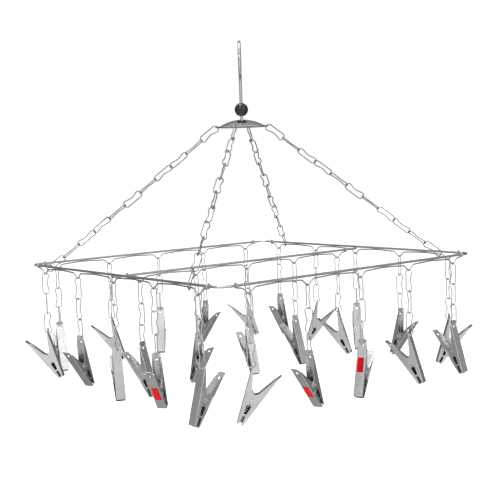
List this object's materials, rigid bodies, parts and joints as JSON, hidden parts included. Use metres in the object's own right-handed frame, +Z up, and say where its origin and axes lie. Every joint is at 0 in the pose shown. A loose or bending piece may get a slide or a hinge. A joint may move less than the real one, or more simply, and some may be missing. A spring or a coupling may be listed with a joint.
{
  "type": "clip drying hanger",
  "caption": "Square wire drying frame on four chains from a domed plate and swivelling hook, with sprung steel clips on short chains for small laundry.",
  "frame": {"origin": "inside of the hook's crown, where the hanger rests on a rail", "axes": "+Z up; X and Y along the sides of the square frame, X along the middle bar"},
  "size_m": [0.4551, 0.453, 0.4244],
  "materials": {
    "hook_steel": "polished",
    "plate_steel": "polished",
    "frame_steel": "polished",
    "chain_steel": "polished",
    "clip_steel": "polished",
    "bead_plastic": "gloss"
  },
  "bodies": {
    "hook": {"hook": "hook_steel", "bead": "bead_plastic"},
    "hanger": {"canopy_plate": "plate_steel", "suspension_chain_1": "chain_steel", "suspension_chain_2": "chain_steel", "suspension_chain_3": "chain_steel", "suspension_chain_4": "chain_steel", "rim": "frame_steel", "middle_bar": "frame_steel", "scallop_wires": "frame_steel"},
    "clip_01": {"clip_01": "clip_steel"},
    "lever_01": {"lever_01": "clip_steel"},
    "clip_02": {"clip_02": "clip_steel"},
    "lever_02": {"lever_02": "clip_steel"},
    "clip_03": {"clip_03": "clip_steel"},
    "lever_03": {"lever_03": "clip_steel"},
    "clip_04": {"clip_04": "clip_steel"},
    "lever_04": {"lever_04": "clip_steel"},
    "clip_05": {"clip_05": "clip_steel"},
    "lever_05": {"lever_05": "clip_steel"},
    "clip_06": {"clip_06": "clip_steel"},
    "lever_06": {"lever_06": "clip_steel"},
    "clip_07": {"clip_07": "clip_steel"},
    "lever_07": {"lever_07": "clip_steel"},
    "clip_08": {"clip_08": "clip_steel"},
    "lever_08": {"lever_08": "clip_steel"},
    "clip_09": {"clip_09": "clip_steel"},
    "lever_09": {"lever_09": "clip_steel"},
    "clip_10": {"clip_10": "clip_steel"},
    "lever_10": {"lever_10": "clip_steel"},
    "clip_11": {"clip_11": "clip_steel"},
    "lever_11": {"lever_11": "clip_steel"},
    "clip_12": {"clip_12": "clip_steel"},
    "lever_12": {"lever_12": "clip_steel"},
    "clip_13": {"clip_13": "clip_steel"},
    "lever_13": {"lever_13": "clip_steel"},
    "clip_14": {"clip_14": "clip_steel"},
    "lever_14": {"lever_14": "clip_steel"},
    "clip_15": {"clip_15": "clip_steel"},
    "lever_15": {"lever_15": "clip_steel"},
    "clip_16": {"clip_16": "clip_steel"},
    "lever_16": {"lever_16": "clip_steel"},
    "clip_17": {"clip_17": "clip_steel"},
    "lever_17": {"lever_17": "clip_steel"},
    "clip_18": {"clip_18": "clip_steel"},
    "lever_18": {"lever_18": "clip_steel"},
    "clip_19": {"clip_19": "clip_steel"},
    "lever_19": {"lever_19": "clip_steel"},
    "clip_20": {"clip_20": "clip_steel"},
    "lever_20": {"lever_20": "clip_steel"},
    "clip_21": {"clip_21": "clip_steel"},
    "lever_21": {"lever_21": "clip_steel"},
    "clip_22": {"clip_22": "clip_steel"},
    "lever_22": {"lever_22": "clip_steel"},
    "clip_23": {"clip_23": "clip_steel"},
    "lever_23": {"lever_23": "clip_steel"},
    "clip_24": {"clip_24": "clip_steel"},
    "lever_24": {"lever_24": "clip_steel"},
    "clip_25": {"clip_25": "clip_steel"},
    "lever_25": {"lever_25": "clip_steel"}
  },
  "joints": [
    {"name": "hook_swivel", "type": "hinge", "parent": "hook", "child": "hanger", "pos_m": [0, 0, -0.0952], "axis": [0, 0, 1], "continuous": true},
    {"name": "clip_01_swing", "type": "hinge", "parent": "hanger", "child": "clip_01", "pos_m": [-0.2, -0.1634, -0.28249], "axis": [0, 1, 0], "range_deg": [-12, 12]},
    {"name": "clip_01_squeeze", "type": "hinge", "parent": "clip_01", "child": "lever_01", "pos_m": [-0.20059, -0.16347, -0.3904], "axis": [0.1219, -0.9925, 0], "range_deg": [0, 20], "stiffness_Nm_per_rad": 0.4, "springref_deg": -22.92},
    {"name": "clip_02_swing", "type": "hinge", "parent": "hanger", "child": "clip_02", "pos_m": [-0.2, -0.0817, -0.28249], "axis": [0, 1, 0], "range_deg": [-12, 12]},
    {"name": "clip_02_squeeze", "type": "hinge", "parent": "clip_02", "child": "lever_02", "pos_m": [-0.19952, -0.08134, -0.3904], "axis": [-0.6018, 0.7986, 0], "range_deg": [0, 20], "stiffness_Nm_per_rad": 0.4, "springref_deg": -22.92},
    {"name": "clip_03_swing", "type": "hinge", "parent": "hanger", "child": "clip_03", "pos_m": [-0.2, 0, -0.28249], "axis": [0, 1, 0], "range_deg": [-3, 12]},
    {"name": "clip_03_squeeze", "type": "hinge", "parent": "clip_03", "child": "lever_03", "pos_m": [-0.20022, -0.00055, -0.3904], "axis": [0.9272, -0.3746, 0], "range_deg": [0, 20], "stiffness_Nm_per_rad": 0.4, "springref_deg": -22.92},
    {"name": "clip_04_swing", "type": "hinge", "parent": "hanger", "child": "clip_04", "pos_m": [-0.2, 0.0817, -0.28249], "axis": [0, 1, 0], "range_deg": [-12, 12]},
    {"name": "clip_04_squeeze", "type": "hinge", "parent": "clip_04", "child": "lever_04", "pos_m": [-0.19945, 0.08192, -0.3904], "axis": [-0.3746, 0.9272, 0], "range_deg": [0, 20], "stiffness_Nm_per_rad": 0.4, "springref_deg": -22.92},
    {"name": "clip_05_swing", "type": "hinge", "parent": "hanger", "child": "clip_05", "pos_m": [-0.2, 0.1634, -0.28249], "axis": [0, 1, 0], "range_deg": [-7, 12]},
    {"name": "clip_05_squeeze", "type": "hinge", "parent": "clip_05", "child": "lever_05", "pos_m": [-0.19954, 0.16302, -0.3904], "axis": [0.6428, 0.766, 0], "range_deg": [0, 20], "stiffness_Nm_per_rad": 0.4, "springref_deg": -22.92},
    {"name": "clip_06_swing", "type": "hinge", "parent": "hanger", "child": "clip_06", "pos_m": [-0.1634, -0.2, -0.28249], "axis": [1, 0, 0], "range_deg": [-12, 12]},
    {"name": "clip_06_squeeze", "type": "hinge", "parent": "clip_06", "child": "lever_06", "pos_m": [-0.16386, -0.19962, -0.3904], "axis": [-0.6428, -0.766, 0], "range_deg": [0, 20], "stiffness_Nm_per_rad": 0.4, "springref_deg": -22.92},
    {"name": "clip_07_swing", "type": "hinge", "parent": "hanger", "child": "clip_07", "pos_m": [-0.0817, -0.2, -0.28249], "axis": [1, 0, 0], "range_deg": [-12, 12]},
    {"name": "clip_07_squeeze", "type": "hinge", "parent": "clip_07", "child": "lever_07", "pos_m": [-0.08112, -0.19988, -0.3904], "axis": [-0.2079, 0.9781, 0], "range_deg": [0, 20], "stiffness_Nm_per_rad": 0.4, "springref_deg": -22.92},
    {"name": "clip_08_swing", "type": "hinge", "parent": "hanger", "child": "clip_08", "pos_m": [0, -0.2, -0.28249], "axis": [1, 0, 0], "range_deg": [-12, 12]},
    {"name": "clip_08_squeeze", "type": "hinge", "parent": "clip_08", "child": "lever_08", "pos_m": [-0.00056, -0.20021, -0.3904], "axis": [0.3584, -0.9336, 0], "range_deg": [0, 20], "stiffness_Nm_per_rad": 0.4, "springref_deg": -22.92},
    {"name": "clip_09_swing", "type": "hinge", "parent": "hanger", "child": "clip_09", "pos_m": [0.0817, -0.2, -0.28249], "axis": [1, 0, 0], "range_deg": [-12, 12]},
    {"name": "clip_09_squeeze", "type": "hinge", "parent": "clip_09", "child": "lever_09", "pos_m": [0.08193, -0.20055, -0.3904], "axis": [0.9205, 0.3907, 0], "range_deg": [0, 20], "stiffness_Nm_per_rad": 0.4, "springref_deg": -22.92},
    {"name": "clip_10_swing", "type": "hinge", "parent": "hanger", "child": "clip_10", "pos_m": [0.1634, -0.2, -0.28249], "axis": [1, 0, 0], "range_deg": [-12, 10]},
    {"name": "clip_10_squeeze", "type": "hinge", "parent": "clip_10", "child": "lever_10", "pos_m": [0.1634, -0.2006, -0.3904], "axis": [1, 0, 0], "range_deg": [0, 20], "stiffness_Nm_per_rad": 0.4, "springref_deg": -22.92},
    {"name": "clip_11_swing", "type": "hinge", "parent": "hanger", "child": "clip_11", "pos_m": [0.2, -0.1634, -0.28249], "axis": [0, 1, 0], "range_deg": [-12, 10]},
    {"name": "clip_11_squeeze", "type": "hinge", "parent": "clip_11", "child": "lever_11", "pos_m": [0.19954, -0.16302, -0.3904], "axis": [-0.6428, -0.766, 0], "range_deg": [0, 20], "stiffness_Nm_per_rad": 0.4, "springref_deg": -22.92},
    {"name": "clip_12_swing", "type": "hinge", "parent": "hanger", "child": "clip_12", "pos_m": [0.2, -0.0817, -0.28249], "axis": [0, 1, 0], "range_deg": [-12, 12]},
    {"name": "clip_12_squeeze", "type": "hinge", "parent": "clip_12", "child": "lever_12", "pos_m": [0.20003, -0.0811, -0.3904], "axis": [-0.9986, 0.0523, 0], "range_deg": [0, 20], "stiffness_Nm_per_rad": 0.4, "springref_deg": -22.92},
    {"name": "clip_13_swing", "type": "hinge", "parent": "hanger", "child": "clip_13", "pos_m": [0.2, 0, -0.28249], "axis": [0, 1, 0], "range_deg": [-12, 1]},
    {"name": "clip_13_squeeze", "type": "hinge", "parent": "clip_13", "child": "lever_13", "pos_m": [0.19962, -0.00046, -0.3904], "axis": [0.766, -0.6428, 0], "range_deg": [0, 20], "stiffness_Nm_per_rad": 0.4, "springref_deg": -22.92},
    {"name": "clip_14_swing", "type": "hinge", "parent": "hanger", "child": "clip_14", "pos_m": [0.2, 0.0817, -0.28249], "axis": [0, 1, 0], "range_deg": [-12, 12]},
    {"name": "clip_14_squeeze", "type": "hinge", "parent": "clip_14", "child": "lever_14", "pos_m": [0.19954, 0.08208, -0.3904], "axis": [-0.6428, -0.766, 0], "range_deg": [0, 20], "stiffness_Nm_per_rad": 0.4, "springref_deg": -22.92},
    {"name": "clip_15_swing", "type": "hinge", "parent": "hanger", "child": "clip_15", "pos_m": [0.2, 0.1634, -0.28249], "axis": [0, 1, 0], "range_deg": [-12, 12]},
    {"name": "clip_15_squeeze", "type": "hinge", "parent": "clip_15", "child": "lever_15", "pos_m": [0.20056, 0.16359, -0.3904], "axis": [-0.3256, 0.9455, 0], "range_deg": [0, 20], "stiffness_Nm_per_rad": 0.4, "springref_deg": -22.92},
    {"name": "clip_16_swing", "type": "hinge", "parent": "hanger", "child": "clip_16", "pos_m": [-0.1634, 0.2, -0.28249], "axis": [1, 0, 0], "range_deg": [-7, 12]},
    {"name": "clip_16_squeeze", "type": "hinge", "parent": "clip_16", "child": "lever_16", "pos_m": [-0.16354, 0.19942, -0.3904], "axis": [0.9703, -0.2419, 0], "range_deg": [0, 20], "stiffness_Nm_per_rad": 0.4, "springref_deg": -22.92},
    {"name": "clip_17_swing", "type": "hinge", "parent": "hanger", "child": "clip_17", "pos_m": [-0.0817, 0.2, -0.28249], "axis": [1, 0, 0], "range_deg": [-12, 12]},
    {"name": "clip_17_squeeze", "type": "hinge", "parent": "clip_17", "child": "lever_17", "pos_m": [-0.08124, 0.19962, -0.3904], "axis": [0.6428, 0.766, 0], "range_deg": [0, 20], "stiffness_Nm_per_rad": 0.4, "springref_deg": -22.92},
    {"name": "clip_18_swing", "type": "hinge", "parent": "hanger", "child": "clip_18", "pos_m": [0, 0.2, -0.28249], "axis": [1, 0, 0], "range_deg": [-12, 12]},
    {"name": "clip_18_squeeze", "type": "hinge", "parent": "clip_18", "child": "lever_18", "pos_m": [-0.00038, 0.19954, -0.3904], "axis": [0.766, -0.6428, 0], "range_deg": [0, 20], "stiffness_Nm_per_rad": 0.4, "springref_deg": -22.92},
    {"name": "clip_19_swing", "type": "hinge", "parent": "hanger", "child": "clip_19", "pos_m": [0.0817, 0.2, -0.28249], "axis": [1, 0, 0], "range_deg": [-12, 12]},
    {"name": "clip_19_squeeze", "type": "hinge", "parent": "clip_19", "child": "lever_19", "pos_m": [0.08167, 0.20059, -0.3904], "axis": [-0.9986, -0.0523, 0], "range_deg": [0, 20], "stiffness_Nm_per_rad": 0.4, "springref_deg": -22.92},
    {"name": "clip_20_swing", "type": "hinge", "parent": "hanger", "child": "clip_20", "pos_m": [0.1634, 0.2, -0.28249], "axis": [1, 0, 0], "range_deg": [-12, 12]},
    {"name": "clip_20_squeeze", "type": "hinge", "parent": "clip_20", "child": "lever_20", "pos_m": [0.16386, 0.19962, -0.3904], "axis": [0.6428, 0.766, 0], "range_deg": [0, 20], "stiffness_Nm_per_rad": 0.4, "springref_deg": -22.92},
    {"name": "clip_21_swing", "type": "hinge", "parent": "hanger", "child": "clip_21", "pos_m": [-0.1634, 0, -0.28539], "axis": [1, 0, 0], "range_deg": [-3, 12]},
    {"name": "clip_21_squeeze", "type": "hinge", "parent": "clip_21", "child": "lever_21", "pos_m": [-0.16326, -0.00058, -0.3933], "axis": [0.9703, 0.2419, 0], "range_deg": [0, 20], "stiffness_Nm_per_rad": 0.4, "springref_deg": -22.92},
    {"name": "clip_22_swing", "type": "hinge", "parent": "hanger", "child": "clip_22", "pos_m": [-0.0817, 0, -0.28539], "axis": [1, 0, 0], "range_deg": [-12, 12]},
    {"name": "clip_22_squeeze", "type": "hinge", "parent": "clip_22", "child": "lever_22", "pos_m": [-0.08164, 0.00059, -0.3933], "axis": [-0.9945, 0.1045, 0], "range_deg": [0, 20], "stiffness_Nm_per_rad": 0.4, "springref_deg": -22.92},
    {"name": "clip_23_swing", "type": "hinge", "parent": "hanger", "child": "clip_23", "pos_m": [0, 0, -0.28539], "axis": [1, 0, 0], "range_deg": [-12, 12]},
    {"name": "clip_23_squeeze", "type": "hinge", "parent": "clip_23", "child": "lever_23", "pos_m": [-0.00012, -0.00058, -0.3933], "axis": [0.9781, -0.2079, 0], "range_deg": [0, 20], "stiffness_Nm_per_rad": 0.4, "springref_deg": -22.92},
    {"name": "clip_24_swing", "type": "hinge", "parent": "hanger", "child": "clip_24", "pos_m": [0.0817, 0, -0.28539], "axis": [1, 0, 0], "range_deg": [-12, 12]},
    {"name": "clip_24_squeeze", "type": "hinge", "parent": "clip_24", "child": "lever_24", "pos_m": [0.08167, -0.0006, -0.3933], "axis": [0.9986, -0.0523, 0], "range_deg": [0, 20], "stiffness_Nm_per_rad": 0.4, "springref_deg": -22.92},
    {"name": "clip_25_swing", "type": "hinge", "parent": "hanger", "child": "clip_25", "pos_m": [0.1634, 0, -0.28539], "axis": [1, 0, 0], "range_deg": [-12, 12]},
    {"name": "clip_25_squeeze", "type": "hinge", "parent": "clip_25", "child": "lever_25", "pos_m": [0.16372, -0.00051, -0.3933], "axis": [0.848, 0.5299, 0], "range_deg": [0, 20], "stiffness_Nm_per_rad": 0.4, "springref_deg": -22.92}
  ]
}
